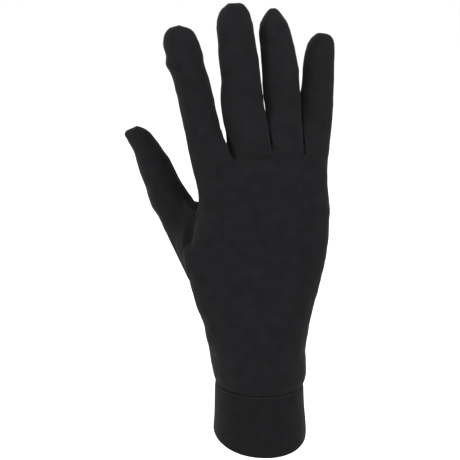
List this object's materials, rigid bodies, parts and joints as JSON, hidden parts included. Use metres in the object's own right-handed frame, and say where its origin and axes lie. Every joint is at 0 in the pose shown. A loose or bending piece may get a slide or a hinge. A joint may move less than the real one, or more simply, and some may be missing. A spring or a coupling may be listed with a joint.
{
  "type": "glove liner",
  "caption": "Thin black jersey-knit glove liner for the right hand, in its worn form, with side strips between the finger stalls, a set-in thumb and a short folded cuff.",
  "frame": {"origin": "centre of the cuff's mouth, where the glove sits on the wrist", "axes": "+Z from the cuff to the fingertips, -Y the back of the hand, +Y the palm, -X the thumb's side, +X the little finger's side"},
  "size_m": [0.1126, 0.0514, 0.2472],
  "materials": {
    "jersey": "matte fine jersey knit",
    "cuff_jersey": "matte fine jersey knit, folded double"
  },
  "bodies": {
    "root": {"back_panel": "jersey", "palm_panel": "jersey", "fourchette_index_middle": "jersey", "fourchette_middle_ring": "jersey", "fourchette_ring_little": "jersey", "thumb": "jersey", "cuff": "cuff_jersey"}
  },
  "joints": []
}
